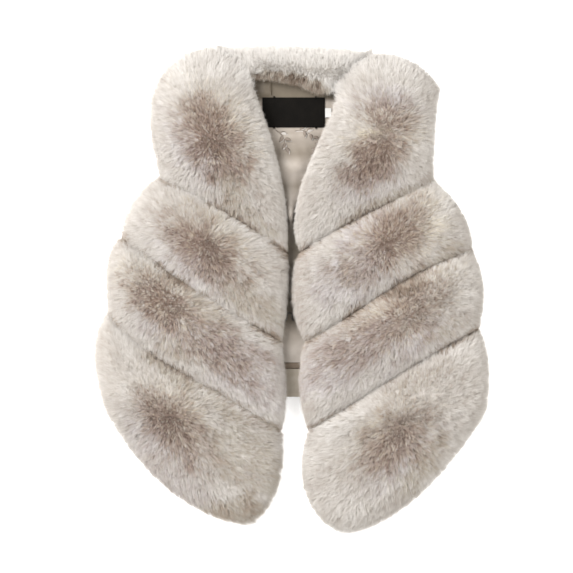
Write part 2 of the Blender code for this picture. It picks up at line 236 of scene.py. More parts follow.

# Places where the hair of a piece is darker, or lighter, than elsewhere, and some where it is tinted.
# The darkness is mostly painted shade and painted light: darker on slopes turned from the key light,
# in the bands' creases and under the collar's roll, lighter in some places turned to it and along the
# collar's seam; a few rows are paler tufts
TingeAndShading = namedtuple("TingeAndShading", "x y along across slant dark tint share", defaults=("cream", 0.0))
TINGES_AND_SHADING = {
    "front_right_shoulder_band": (
        TingeAndShading(-52, 84, 48, 15, -31, 0.18),
        TingeAndShading(-34, 122, 44, 18, -62, 0.07),
        TingeAndShading(-68, 119, 32, 16, -50, 0.19),
        TingeAndShading(-108, 252, 56, 24, 32, -0.12),
    ),
    "front_right_chest_band": (
        TingeAndShading(-26, 22, 30, 30, 0, 0.08),
        TingeAndShading(-84, 74, 40, 12, -36, 0.12),
        TingeAndShading(-46, -12, 58, 22, -34, 0.18),
    ),
    "front_right_waist_band": (
        TingeAndShading(-128, 6, 34, 9, -36, 0.28),
        TingeAndShading(-40, -88, 56, 30, -40, 0.09, "lilac", 0.3),
        TingeAndShading(-84, -62, 56, 22, -37, 0.0, "lilac", 0.7),
        TingeAndShading(-100, -26, 30, 12, -36, 0.12),
        TingeAndShading(-138, -64, 34, 14, -36, 0.14),
    ),
    "front_right_hem_lobe": (
        TingeAndShading(-140, -94, 36, 12, -33, 0.22),
        TingeAndShading(-48, -194, 74, 46, -45, 0.17),
        TingeAndShading(-66, -258, 60, 22, 10, 0.26),
        TingeAndShading(-134, -222, 92, 26, -39, 0.09, "lilac", 0.5),
        TingeAndShading(-96, -124, 46, 16, -35, 0.13),
        TingeAndShading(-10, -138, 24, 14, 70, 0.20),
    ),
    "front_left_shoulder_band": (
        TingeAndShading(98, 180, 26, 7, 8, -0.05, "cream", 0.9),
        TingeAndShading(96, 95, 52, 13, 28, 0.20),
        TingeAndShading(98, 262, 54, 22, -8, -0.13),
        TingeAndShading(154, 120, 40, 14, 22, 0.12),
    ),
    "front_left_chest_band": (
        TingeAndShading(68, 60, 30, 11, 52, 0.03, "lilac", 0.9),
        TingeAndShading(52, 26, 24, 7, 75, -0.06, "lilac", 0.9),
        TingeAndShading(158, 71, 26, 16, 30, -0.12, "cream", 0.5),
        TingeAndShading(160, 29, 50, 15, 25, 0.14),
        TingeAndShading(174, 56, 34, 14, 75, 0.13),
    ),
    "front_left_waist_band": (
        TingeAndShading(134, 2, 30, 10, 29, 0.34),
        TingeAndShading(76, -70, 54, 22, 36, 0.0, "lilac", 0.7),
        TingeAndShading(176, -46, 38, 14, 30, 0.12),
    ),
    "front_left_hem_lobe": (
        TingeAndShading(140, -108, 60, 20, 30, 0.12),
        TingeAndShading(150, -200, 60, 22, 58, 0.18),
        TingeAndShading(58, -152, 38, 18, 30, -0.13),
    ),
    "neck_collar": (
        TingeAndShading(-14, 241, 46, 9, -4, 0.62),
        TingeAndShading(36, 229, 26, 8, -18, 0.40),
        TingeAndShading(18, 235, 24, 10, -25, 0.40),
    ),
}
LIGHT_TONE = 0.200  # place of the undyed fur on the scale of fur tones
DYED_TONE = 0.80  # and of the dyed fur
TUFT_MOTTLE = 0.21  # how unevenly the tufts took the dye
HAIR_MOTTLE = 0.12  # and the hairs of a tuft
MOST_TUFT_DYE = 1.15  # the most that a tuft took
MOST_HAIR_DYE = 1.10  # and a hair
PALE_TUFTS = 0.36  # share of the tufts in a patch that took less dye
PALER = 0.40  # and how much less
PALE_CREAM = 0.6  # share of their hairs that is cream where the dye is whole
FRINGE_TINT = 0.80  # share of the hairs that take the lilac of a fringe
FRINGE_CREAM = 0.5  # cream is rarer in it by this share
# Painted shade: hair shaded more than this takes the warm umber tint
UMBER_SHADE = 0.14  # hair that is shaded by more than this is umber
# Painted light: the collar and the back, and the shoulders where they meet the collar, are lighter
COLLAR_LIFT = -0.20  # the collar and the back are this much lighter
COVER_LIFT = -0.12  # and the shoulders where they meet the collar by this much
# Painted shade and painted light of the tinges, spread over single tufts
SHADE_RANGE = (0.4, 1.6)  # shade of single tufts where the fur is tinged, as a share
HAIR_TONE = 0.03  # spread of the hairs' tones in a tuft
ToneSpread = namedtuple("ToneSpread", "spread low high")
TUFT_TONE = ToneSpread(0.06, -0.14, 0.3)

# Fur colours along the scale of tones, from ivory to dark brown, at the tips and at the roots
Tone = namedtuple("Tone", "place tip root")
FUR_TONES = (
    Tone(0.00, (0.600, 0.577, 0.548), (0.560, 0.527, 0.488)),
    Tone(0.25, (0.440, 0.409, 0.376), (0.388, 0.350, 0.308)),
    Tone(0.45, (0.360, 0.317, 0.280), (0.272, 0.227, 0.190)),
    Tone(0.68, (0.310, 0.235, 0.192), (0.135, 0.088, 0.066)),
    Tone(0.86, (0.232, 0.163, 0.127), (0.078, 0.048, 0.036)),
    Tone(1.00, (0.128, 0.087, 0.067), (0.055, 0.035, 0.026)),
)
# Each scale of tones is repeated in these tints, which change from its light to its dark end; the last is
# the warm tint of hair in painted shade
Tint = namedtuple("Tint", "light dark")
TINTS = (
    Tint((1.0, 1.0, 1.0), (1.0, 1.0, 1.0)),
    Tint((1.05, 1.0, 0.86), (1.05, 1.0, 0.86)),
    Tint((0.97, 0.965, 1.03), (0.97, 0.965, 1.03)),
    Tint((1.0, 0.985, 0.95), (0.96, 1.0, 0.92)),
)
PLAIN, CREAM, LILAC, SHADE_UMBER = range(len(TINTS))
TONE_MARGIN = 0.04  # room between two scales
MAP_SPOT = 0.003  # how much of the map of colours a hair covers
PELT_SPOT = 0.02  # and a face of the pelt, from root to tip

# Lining: height of its upper face, the open part of the V neck, and the humps of loose cloth there
LINING_TOP = 16.8
LINING_THICK = 1.5
Opening = namedtuple("Opening", "y left right")
NECK_OPENING = (
    Opening(66, -3, 2),
    Opening(80, -4, 2),
    Opening(97, -9, 7),
    Opening(114, -13, 16),
    Opening(143, -24, 28),
    Opening(188, -34, 43),
    Opening(222, -43, 57),
)
Hump = namedtuple("Hump", "x y width length rise")
HUMPS = (
    Hump(4, 177, 30, 8, 3.2),
    Hump(5, 143, 24, 14, 8.5),
    Hump(2, 112, 14, 14, 6.0),
    Hump(-1, 88, 8, 13, 11.5),
)
FULLNESS = 2.0  # the cloth swells to its whole height this steeply from the fur
SWELL_START = (66.0, 80.0)  # it begins to swell between these levels of Y
SWELL_END = (186.0, 178.0)  # and ends between these
WRINKLE_RISE = 0.22
Wrinkle = namedtuple("Wrinkle", "x y")
WRINKLES = (Wrinkle(0.21, 0.33), Wrinkle(0.30, -0.17))
# A pleat of the lining under the collar: its right edge, its width, its lower and upper end, its
# height, and how softly its right edge and its other edges fall
Pleat = namedtuple("Pleat", "edge width low high rise fall fade")
PLEAT = Pleat(-22.5, 18.0, 221.5, 243.0, 2.6, 1.4, 4.0)
# Painted shade: a dark band laid along the lining's hem, where its fold overhangs the facing
HemBand = namedtuple("HemBand", "y width thick inset")
HEM_BAND = HemBand(-88.0, 7.5, 0.5, 0.01)
# Grid of the lining, finer where it shows: shares from its left end, and from its upper end
Run = namedtuple("Run", "start end count")
LINING_COLUMNS = (Run(0, 0.37, 9), Run(0.38, 0.64, 52), Run(0.65, 1, 9))
LINING_ROWS = (Run(0, 0.54, 84), Run(0.56, 1, 22))

# Painted shade on the lining's colour: darker where it lies deep between the fur and under the
# collar, from its lower to its upper end
SHADE_WARMTH = (1.0, 1.08, 1.25)  # powers of these strengths in red, green and blue
Shade = namedtuple("Shade", "y strength")
LINING_SHADES = (
    Shade(-86, 0.97),
    Shade(-70, 0.97),
    Shade(-47, 0.65),
    Shade(-37, 0.32),
    Shade(-14, 0.32),
    Shade(8, 0.52),
    Shade(30, 0.46),
    Shade(47, 0.32),
    Shade(60, 0.48),
    Shade(84, 1.00),
    Shade(108, 0.92),
    Shade(119, 0.58),
    Shade(132, 0.94),
    Shade(146, 0.84),
    Shade(156, 0.55),
    Shade(162, 0.58),
    Shade(173, 0.80),
    Shade(216, 0.84),
    Shade(221, 0.29),
    Shade(238, 0.28),
    Shade(262, 0.26),
)

# Printed sprigs of leaves on the lining, one row each: where the stem starts, its turn in degrees
# and its length
Sprig = namedtuple("Sprig", "x y turn size")
SPRIGS = (
    Sprig(-18, 184, -62, 23),
    Sprig(4, 183, -20, 22),
    Sprig(36, 178, -122, 20),
)
SPRIG_LINE = 1.2
SPRIG_HEIGHT = 0.5
STEM_BEND = 0.16  # how far a stem bends, as a share of its length
RIB_BEND = 0.05  # and the rib of a leaf
LEAF_LENGTH = 0.36
LEAF_WIDTH = 0.18
LEAF_TIP = 0.1  # width of its ends, as a share
LEAF_SKEW = 0.8  # how far its widest place is moved along it
# The sprigs are printed twice: how far each print is moved, and its height above the cloth
Print = namedtuple("Print", "cloth shift lift")
PRINTS = (
    Print("sprig_light", (0.8, -0.8), 0.3),
    Print("sprig_dark", (0.0, 0.0), 0.45),
)
Leaf = namedtuple("Leaf", "along turn")
LEAVES = (
    Leaf(0.25, 52),
    Leaf(0.40, -55),
    Leaf(0.62, 50),
    Leaf(0.76, -50),
    Leaf(1.00, 0),
)
TUBE_END = 0.45  # the ends of a tube are this share of its width

# Thread that tacks the label down, at these places along its upper and lower edge
TACK_PLACES = (-20.0, 28.2)
TACK_STITCHES = 3
TACK_LENGTH = 3.6
TACK_THREAD = 0.55
TACK_PITCH = 0.7
TACK_ARCH = 0.45  # rise of a stitch at its middle
TACK_SINK = 0.2  # and how far below the label's face its ends lie
LABEL_RIPPLE = 0.18
RIPPLE_TURNS = (5.0, 2.0)  # of the label's ripple, across it and down, in radians
TAG_CURL = 0.9  # rise of the tag's lower end

# Woven cloths: their darker and lighter colour, the pitch of the threads and the finish
WAVE_SCALE = 2 * math.pi / 20  # scale at which a wave texture repeats after one unit
Cloth = namedtuple("Cloth", "dark light pitch roughness relief specular", defaults=(0.3,))
CLOTHS = {
    "lining_satin": Cloth((0.270, 0.236, 0.204), (0.372, 0.332, 0.294), 0.7, 0.5, 0.25),
    "sprig_light": Cloth((0.32, 0.295, 0.27), (0.39, 0.36, 0.33), 0.7, 0.6, 0.2),
    "sprig_dark": Cloth((0.13, 0.104, 0.083), (0.19, 0.156, 0.128), 0.7, 0.6, 0.2),
    # painted shade of the lining's hem fold
    "hem_shade": Cloth((0.112, 0.083, 0.061), (0.176, 0.138, 0.102), 0.6, 0.8, 0.3),
    "facing_rib": Cloth((0.25, 0.215, 0.17), (0.36, 0.32, 0.265), 1.4, 0.85, 0.6),
    "label_ribbon": Cloth((0.003, 0.0028, 0.0025), (0.007, 0.006, 0.005), 0.5, 0.9, 0.4, 0.05),
    "tag_ribbon": Cloth((0.46, 0.45, 0.43), (0.54, 0.53, 0.51), 0.5, 0.8, 0.4),
}


def smooth(share):
    """A soft step from 0 to 1."""
    share = np.clip(share, 0.0, 1.0)
    return share * share * (3 - 2 * share)


def step(values, ends):
    """A soft step from 0 at the first end to 1 at the second."""
    return smooth((values - ends[0]) / (ends[1] - ends[0]))


def mix(first, second, share):
    return first + (second - first) * share


def length(vectors):
    return np.linalg.norm(vectors, axis=-1)


def unit(vectors):
    return vectors / np.maximum(length(vectors)[..., None], 1e-9)


def soft_noise(points, noises, rng, waves=9):
    """Smooth noise around 0, mostly within its strength, made of sine waves in random directions."""
    total = np.zeros(len(points))
    for noise in noises:
        for _ in range(waves):
            direction = unit(rng.normal(size=points.shape[1]))
            turns = 2 * math.pi / (noise.wavelength * rng.uniform(*WAVE_RANGE))
            total += noise.strength * np.sin(points @ direction * turns + rng.uniform(0, 2 * math.pi))
    return total / math.sqrt(waves / 2)


def heading(degrees):
    """A direction in plan, so many degrees round from +X."""
    turn = math.radians(degrees)
    return np.array((math.cos(turn), math.sin(turn)))


def turned(points, degrees):
    """Plan points turned about the origin."""
    x, y = heading(degrees)
    return points @ np.array(((x, y), (-y, x)))


def new_object(name, data):
    item = bpy.data.objects.new(name, data)
    bpy.context.collection.objects.link(item)
    return item


def add_piece(name, mesh, material):
    """A new piece in the scene that moves with the vest and takes a material."""
    mesh.materials.append(material)
    piece = new_object(name, mesh)
    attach(piece, "root")
    return piece


def read_points(items, field):
    values = np.empty(len(items) * 3)
    items.foreach_get(field, values)
    return values.reshape(-1, 3)


def new_material(name):
    material = bpy.data.materials.new(name)
    material.use_nodes = True
    tree = material.node_tree
    return material, tree, tree.nodes["Principled BSDF"]


def set_inputs(tree, node, inputs):
    """Gives a node's inputs their values, or links them to outputs of other nodes."""
    for name, value in inputs.items():
        if isinstance(value, bpy.types.NodeSocket):
            tree.links.new(value, node.inputs[name])
        else:
            node.inputs[name].default_value = value


def add_node(tree, kind, inputs, **settings):
    node = tree.nodes.new("ShaderNode" + kind)
    for name, value in settings.items():
        setattr(node, name, value)
    set_inputs(tree, node, inputs)
    return node


def colour_ramp(tree, factor, stops):
    ramp = add_node(tree, "ValToRGB", {"Fac": factor})
    elements = ramp.color_ramp.elements
    while len(elements) < len(stops):
        elements.new(0.5)
    for element, (place, colour) in zip(elements, stops, strict=True):
        element.position = place
        element.color = (*colour, 1.0)
    return ramp.outputs["Color"]


def tone_place(tint, tone):
    """Where on the map of fur colours a tone of a tint lies."""
    return (tint + TONE_MARGIN + (1 - 2 * TONE_MARGIN) * tone) / len(TINTS)


def fur_material():
    """Hair whose colour follows its map: tint and tone across, and root to tip along."""
    material, tree, shader = new_material("fur_pile")
    place = add_node(tree, "UVMap", {}, uv_map="OFBake")
    parts = add_node(tree, "SeparateXYZ", {"Vector": place.outputs["UV"]})

    def scale(end):
        stops = []
        for tint, ends in enumerate(TINTS):
            for tone in FUR_TONES:
                strength = mix(np.array(ends.light), np.array(ends.dark), tone.place)
                colour = np.array(getattr(tone, end)) * strength
                stops.append((tone_place(tint, tone.place), colour.tolist()))
        return colour_ramp(tree, parts.outputs["X"], stops)

    rise = add_node(tree, "MapRange", {"Value": parts.outputs["Y"]}, interpolation_type="SMOOTHSTEP")
    ends = {"A": scale("root"), "B": scale("tip"), "Factor": rise.outputs["Result"]}
    blend = add_node(tree, "Mix", ends, data_type="RGBA")
    set_inputs(tree, shader, {"Base Color": blend.outputs["Result"], "Roughness": 0.75,
                              "Sheen Weight": 0.25, "Sheen Roughness": 0.4})
    return material


def mesh_shape(mesh):
    """Corners of a mesh, in millimetres, and its triangles."""
    mesh.calc_loop_triangles()
    triangles = np.empty(len(mesh.loop_triangles) * 3, dtype=int)
    mesh.loop_triangles.foreach_get("vertices", triangles)
    return read_points(mesh.vertices, "co") / MM, triangles.reshape(-1, 3)


def solid_shape(name):
    return mesh_shape(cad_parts[name].data)


def rounded_solid(name):
    """A copy of a node's solid, its facets welded into quads and rounded."""
    shape = bmesh.new()
    shape.from_mesh(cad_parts[name].data)
    bmesh.ops.remove_doubles(shape, verts=shape.verts, dist=0.01 * MM)
    bmesh.ops.join_triangles(shape, faces=shape.faces, angle_face_threshold=math.pi,
                             angle_shape_threshold=math.pi)
    mesh = bpy.data.meshes.new(name + "_pelt")
    shape.to_mesh(mesh)
    shape.free()
    draft = new_object(name + "_draft", mesh)
    draft.modifiers.new("rounding", "SUBSURF").levels = 1
    rounded = bpy.data.meshes.new_from_object(draft.evaluated_get(bpy.context.evaluated_depsgraph_get()))
    bpy.data.objects.remove(draft, do_unlink=True)
    rounded.name = name + "_pelt"
    rounded.shade_smooth()
    return rounded


def nearest_on(names, points):
    """The nearest place on the named solids to each point."""
    corners, faces, count = [], [], 0
    for name in names:
        solid, triangles = solid_shape(name)
        corners.append(solid)
        faces.append(triangles + count)
        count += len(solid)
    tree = BVHTree.FromPolygons(np.concatenate(corners).tolist(), np.concatenate(faces).tolist())
    return np.array([tree.find_nearest(point)[0] for point in points.tolist()])


Envelope = namedtuple("Envelope", "points normals triangles hidden gap towards depth cover rim")


def fur_envelope(name, mesh):
    """The outside of the pile at each corner of a mesh, with the seams and depth around it."""
    corners, triangles = mesh_shape(mesh)
    normals = read_points(mesh.vertex_normals, "vector")
    points = nearest_on([name], corners)

    def apart(names):
        return length(nearest_on(names, points) - points)

    others = [other for other in FURS if other != name]
    to_sewn = apart(others)
    towards = nearest_on([other for other in others if other in CREASED], points) - points
    gap = length(towards)
    if name not in CREASED:
        gap += SEAM_REACH
    depth = PILE_DEPTH * mix(SEAM_ROOT_SHARE, 1, smooth(gap / SEAM_REACH))
    filled, rim = np.zeros((2, len(points)))
    if name in COVERED_BY:
        filled = 1 - smooth(apart(COVERED_BY[name]) / COVERED_REACH)
        filled *= step(normals[:, 2], FILL_SLOPES)
        rim = filled * step(normals[:, 1], CORNER_SLOPES)
        level = COVERED_HEIGHT if name in CREASED else COLLAR_END_HEIGHT
        points[:, 2] += filled * np.maximum(level - points[:, 2], 0)
        normals = unit(normals * (1 - filled[:, None]) + filled[:, None] * UP)
    hidden = ((to_sewn < SEAM_WALL) & (filled < FILLED_SEAM)) | (apart(CLOTH) < SEAM_WALL)
    return Envelope(points, normals, triangles, hidden, gap, unit(towards), depth, filled, rim)


def patch_reach(points, patch):
    """Distance from a patch's middle, 1 at its border."""
    along, across = turned(points[:, :2] - (patch.x, patch.y), -patch.slant).T
    return np.hypot(along / patch.along, across / patch.across)


Dye = namedtuple("Dye", "share cream lilac shade")


def dye_at(name, points, rng):
    """How much dye the hair at each point has taken, how likely it is cream or lilac, and the painted
    shade and painted light of the tinges.
    """
    share, cream, lilac, shade = np.zeros((4, len(points)))
    ragged = soft_noise(points, PATCH_NOISES, rng)
    for patch in PATCHES:
        if patch.piece != name:
            continue
        reach = patch_reach(points, patch) + ragged
        share = np.maximum(share, patch.dark * (1 - step(reach, PATCH_EDGE)))
        facing = unit(points[:, :2] - (patch.x, patch.y)) @ heading(patch.warm)
        fringe = FRINGE_TINT * step(reach, FRINGE_START) * (1 - step(reach, FRINGE_END))
        cream = np.maximum(cream, FRINGE_CREAM * fringe * np.clip(facing, 0, 1))
        lilac = np.maximum(lilac, fringe * np.clip(-facing, 0, 1))
    tinged = {"cream": cream, "lilac": lilac}
    for tinge_and_shading in TINGES_AND_SHADING.get(name, ()):
        strength = 1 - step(patch_reach(points, tinge_and_shading) + ragged, TINGE_EDGE)
        np.maximum(tinged[tinge_and_shading.tint], tinge_and_shading.share * strength, out=tinged[tinge_and_shading.tint])
        # Painted shade; a dark below 0 is painted light
        shade += tinge_and_shading.dark * strength
    return Dye(share, cream, lilac, shade)


def hair_lean(name, points, normals):
    """Which way and how far the hair leans: a vector along the surface, 0 upright, 1 flat."""
    fur = FURS[name]
    away = (points[:, :2] - (fur.x, fur.y)) * (fur.sideways, 1.0)
    reach = length(away)
    plan = unit(away) * smooth(reach / fur.flat_reach)[:, None] + fur.comb_strength * heading(fur.comb)
    lean = np.column_stack((plan, np.full(len(points), -DROOP)))
    lean -= normals * np.sum(lean * normals, axis=1, keepdims=True)
    return MOST_LEAN * lean / np.maximum(length(lean)[:, None], 1.0)


Tufts = namedtuple("Tufts", "points normals gap towards depth cover rim")


def scatter_tufts(envelope, count, rng):
    """Tufts spread evenly over the part of an envelope that shows its pile."""
    corners = envelope.points[envelope.triangles]
    span = np.cross(corners[:, 1] - corners[:, 0], corners[:, 2] - corners[:, 0])
    area = length(span)
    faces_down = span[:, 2] < UNDERSIDE * area
    hidden = envelope.hidden[envelope.triangles].all(axis=1)
    area[faces_down | hidden] = 0.0
    passed = np.cumsum(area) / area.sum()
    pick = np.searchsorted(passed, (np.arange(count) + rng.random(count)) / count)
    a, b = rng.random((2, count))
    folded = a + b > 1
    a[folded], b[folded] = 1 - a[folded], 1 - b[folded]
    weights = np.column_stack((1 - a - b, a, b))
    chosen = envelope.triangles[pick]

    def at_tufts(values):
        shape = weights if values.ndim == 1 else weights[..., None]
        return np.sum(values[chosen] * shape, axis=1)

    tufts = Tufts(*(at_tufts(getattr(envelope, field)) for field in Tufts._fields))
    tufts.normals[:, 2] = np.maximum(tufts.normals[:, 2], LOWEST_NORMAL)
    return tufts._replace(normals=unit(tufts.normals), towards=unit(tufts.towards))


def seam_opening(points, rng):
    """How far the seams lie open at each point, 0 to 1."""
    opening = SEAM_OPEN_ELSEWHERE + soft_noise(points, [SEAM_NOISE], rng)
    for place in OPEN_SEAMS:
        away = length(points[:, :2] - (place.x, place.y)) / place.reach
        opening = np.maximum(opening, place.share * (1 - step(away, SEAM_EDGE)))
    return smooth(opening)


def take_dye(name, tufts, dye, rng):
    """The dye that each tuft took, unevenly and in combed streaks, and which tufts stayed pale."""
    fur, count = FURS[name], len(dye.share)
    along, across = turned(tufts.points[:, :2], -fur.comb).T
    streaks = soft_noise(np.column_stack((along / STREAK_LENGTH, across)), [STREAK_NOISE], rng)
    taken = dye.share * (1 + fur.comb_strength * streaks)
    taken += TUFT_MOTTLE * np.sqrt(dye.share) * rng.normal(size=count)
    pale = rng.random(count) < PALE_TUFTS
    taken = np.clip(taken, 0.0, MOST_TUFT_DYE) * np.where(pale, 1 - PALER, 1 + PALER * PALE_TUFTS)
    return taken, pale


def tuft_tones(name, tufts, dye, open_seam, near_seam, rng):
    """How much darker, or lighter, each tuft is than its dye makes it, with painted shade and painted
    light, and how much of that is painted shade.
    """
    count = len(dye.share)
    tone = soft_noise(tufts.points, TONE_NOISES, rng)
    tone += np.clip(TUFT_TONE.spread * rng.normal(size=count), TUFT_TONE.low, TUFT_TONE.high)
    # Painted shade: hair near open seams is darker, and some tufts there are dark
    by_seam = (1 - smooth(tufts.gap / SEAM_SHADE_REACH)) * open_seam
    shade = SEAM_DARK * near_seam + dye.shade * rng.uniform(*SHADE_RANGE, count)
    shade += SEAM_DARK * (rng.random(count) < SEAM_STREWN * by_seam)
    tone += shade
    # Painted light on the collar, the back and the shoulders at the collar's ends
    tone += COVER_LIFT * tufts.cover if name in CREASED else COLLAR_LIFT
    # Painted shade on rims turned to the key light
    rim = smooth(-tufts.normals[:, 0] / RIM_SLOPE) * smooth(tufts.gap / SEAM_REACH)
    tone += FURS[name].rim_shade * rim
    return tone, shade


def tuft_heights(name, tufts, near_seam, rng):
    """How high the hairs of each tuft rise from their roots."""
    height = PILE_DEPTH * mix(1, SEAM_HEIGHT_SHARE, near_seam)
    height *= MEAN_HEIGHT + HEIGHT_SPREAD * rng.normal(size=len(height))
    reach = np.full(len(height), EDGE_REACH)
    for row in REACHES:
        if row.piece == name:
            reach += row.more * np.clip(tufts.normals[:, :2] @ heading(row.way), 0, 1)
    height += reach * (1 - smooth(tufts.normals[:, 2] / RIM_SLOPE)) * smooth(tufts.gap / SEAM_REACH)
    if name in CREASED:
        return height + COVER_REACH * tufts.cover
    height += FRINGE_REACH * np.clip(-tufts.normals[:, 1], 0, 1)
    return height * (1 - COLLAR_END_SHORT * tufts.rim)


Hairs = namedtuple("Hairs", "root middle tip across normal place bent")


def grow_pile(name, envelope, rng):
    """Joined hairs, each a ribbon that rises from the pelt, some of them bent over."""
    count = FURS[name].hairs // HAIRS_PER_TUFT
    tufts = scatter_tufts(envelope, count, rng)
    open_seam = seam_opening(tufts.points, rng)
    near_seam = (1 - smooth(tufts.gap / SEAM_REACH)) * open_seam
    lean = hair_lean(name, tufts.points, tufts.normals)
    lean -= tufts.towards * (np.sum(lean * tufts.towards, axis=1) * near_seam)[:, None]
    lean += np.column_stack([soft_noise(tufts.points, [LEAN_NOISE], rng) for _ in range(3)])
    dye = dye_at(name, tufts.points, rng)
    lean *= ((1 - PATCH_UPRIGHT * dye.share) * (1 - COVERED_UPRIGHT * tufts.rim))[:, None]
    lean += (TUFT_STRAY + DYED_STRAY * dye.share)[:, None] * rng.normal(size=lean.shape)
    taken, pale = take_dye(name, tufts, dye, rng)
    tone, shade = tuft_tones(name, tufts, dye, open_seam, near_seam, rng)
    height = tuft_heights(name, tufts, near_seam, rng)

    # Paths of the hairs
    whose = np.repeat(np.arange(count), HAIRS_PER_TUFT)
    hairs = len(whose)
    normal, lean, taken = tufts.normals[whose], lean[whose], taken[whose]
    side = unit(np.cross(normal, lean + SIDE_STRAY * rng.normal(size=(hairs, 3))))
    front = np.cross(side, normal)
    dyed = np.clip(taken, 0, 1)[:, None]
    spread = mix(TUFT_SPREAD, DYED_SPREAD, dyed) * rng.normal(size=(hairs, 2))
    offset = side * spread[:, :1] + front * spread[:, 1:]
    root = tufts.points[whose] + offset - normal * tufts.depth[whose, None]
    lower = unit(normal + ROOT_LEAN * lean + ROOT_STRAY * rng.normal(size=(hairs, 3)))
    amount = length(lean)[:, None]
    upper = unit(normal * mix(1, TIP_FALL, np.minimum(amount, 1.0)) + lean
                 + TIP_STRAY * rng.normal(size=(hairs, 3)))
    climb = np.clip(np.sum((lower + upper) * normal, axis=1) / 2, LEAST_CLIMB, 1.0)
    half = (height[whose] * (1 + LENGTH_SPREAD * rng.normal(size=hairs)) / climb / 2)[:, None]
    pinch = offset * mix(TUFT_PINCH, DYED_PINCH, dyed)
    middle = root + lower * half - MIDDLE_PINCH * pinch
    tip = middle + upper * half - (1 - MIDDLE_PINCH) * pinch
    for points in (root, middle, tip):
        points[:, 2] = np.maximum(points[:, 2], LOWEST_HAIR)

    # Their colours
    taken = np.clip(taken + HAIR_MOTTLE * np.sqrt(taken) * rng.normal(size=hairs), 0.0, MOST_HAIR_DYE)
    tone = mix(LIGHT_TONE, DYED_TONE, taken) + tone[whose] + HAIR_TONE * rng.normal(size=hairs)
    cream = np.maximum(dye.cream, PALE_CREAM * pale * dye.share)[whose]
    draw = rng.random(hairs)
    tint = np.where(draw < cream, CREAM, np.where(draw > 1 - dye.lilac[whose], LILAC, PLAIN))
    # Hair in painted shade takes its warm tint
    tint[shade[whose] > UMBER_SHADE] = SHADE_UMBER
    place = tone_place(tint, np.clip(tone, 0.0, 1.0))

    # Their ribbons, which face out and up
    outward = normal + UP
    across = unit(np.cross(tip - root, outward + TWIST * rng.normal(size=root.shape)))
    face = np.cross(across, tip - root)
    across *= np.where(np.sum(face * outward, axis=1, keepdims=True) < 0, -1.0, 1.0)
    bent = np.arange(hairs) % HAIRS_PER_TUFT < BENT_PER_TUFT
    return hair_mesh(name + "_pile", Hairs(root, middle, tip, across, normal, place, bent))


def hair_mesh(name, hairs):
    """One mesh of tapering hairs: a triangle each, and a quad below it in a hair that bends."""
    half = hairs.across * (HAIR_WIDTH / 2)
    flat = unit(np.cross(hairs.across, hairs.tip - hairs.root))
    shading = unit(hairs.normal + EDGE_LIFT * UP + FLAT_SHARE * flat)

    straight, bent = ~hairs.bent, hairs.bent
    root, middle, tip = hairs.root, hairs.middle, hairs.tip
    plain = np.stack((root - half, root + half, tip), axis=1)[straight]
    slim = MIDDLE_WIDTH * half
    curved = np.stack((root - half, root + half, middle + slim, middle - slim, tip), axis=1)[bent]
    first = np.arange(len(plain))[:, None] * 3
    then = first.size * 3 + np.arange(len(curved))[:, None] * 5
    plain_corners = first + (0, 1, 2)
    curved_corners = np.concatenate((then + (0, 1, 2, 3), then + (3, 2, 4)), axis=1)
    corners = np.concatenate((plain_corners.ravel(), curved_corners.ravel()))
    starts = np.concatenate((first.ravel(), (plain_corners.size + np.arange(len(curved))[:, None] * 7
                                             + (0, 4)).ravel()))

    mesh = bpy.data.meshes.new(name)
    points = np.concatenate((plain.reshape(-1, 3), curved.reshape(-1, 3)))
    mesh.vertices.add(len(points))
    mesh.vertices.foreach_set("co", (points * MM).ravel())
    mesh.loops.add(len(corners))
    mesh.loops.foreach_set("vertex_index", corners)
    mesh.polygons.add(len(starts))
    mesh.polygons.foreach_set("loop_start", starts)
    mesh.update(calc_edges=True)
    mesh.shade_smooth()

    def spots(places, edges, along):
        across = places[:, None] + MAP_SPOT * np.array(edges)
        return np.stack((across, np.broadcast_to(along, across.shape)), axis=-1).reshape(-1, 2)

    uvs = np.concatenate((spots(hairs.place[straight], (-1, 1, 0), (0.0, 0.0, 1.0)),
                          spots(hairs.place[bent], (-1, 1, 1, -1, 0), (0.0, 0.0, 0.5, 0.5, 1.0))))
    mesh.uv_layers.new(name="OFBake").data.foreach_set("uv", uvs[corners].ravel())
    mesh.normals_split_custom_set_from_vertices(
        np.concatenate((np.repeat(shading[straight], 3, axis=0), np.repeat(shading[bent], 5, axis=0))))
    return mesh


def pelt_mesh(name, envelope, mesh, rng):
    """Presses an envelope in to the pelt under the pile, but not on its flat underside."""
    on_underside = step(-envelope.normals[:, 2], UNDERSIDE_SLOPES)
    sink = PELT_SHARE * envelope.depth * (1 - on_underside)
    points = envelope.points - envelope.normals * sink[:, None]
    mesh.vertices.foreach_set("co", (points * MM).ravel())
    mesh.update()
    dye = dye_at(name, points, rng)
    tone = mix(LIGHT_TONE, DYED_TONE, dye.share)
    # Painted shade on the pelt near open seams
    tone += SEAM_DARK * (1 - smooth(envelope.gap / SEAM_REACH)) * seam_opening(points, rng)
    place = tone_place(PLAIN, np.clip(tone, 0.0, 1.0))
    corners = np.empty(len(mesh.loops), dtype=int)
    mesh.loops.foreach_get("vertex_index", corners)
    corner = np.arange(len(corners)) % 4
    across = place[corners] + MAP_SPOT * (corner // 2)
    along = PELT_TONE + PELT_SPOT * ((corner + 1) // 2 % 2)
    uvs = np.column_stack((across, along))
    mesh.uv_layers.new(name="OFBake").data.foreach_set("uv", uvs.ravel())


Cut = namedtuple("Cut", "flat area")


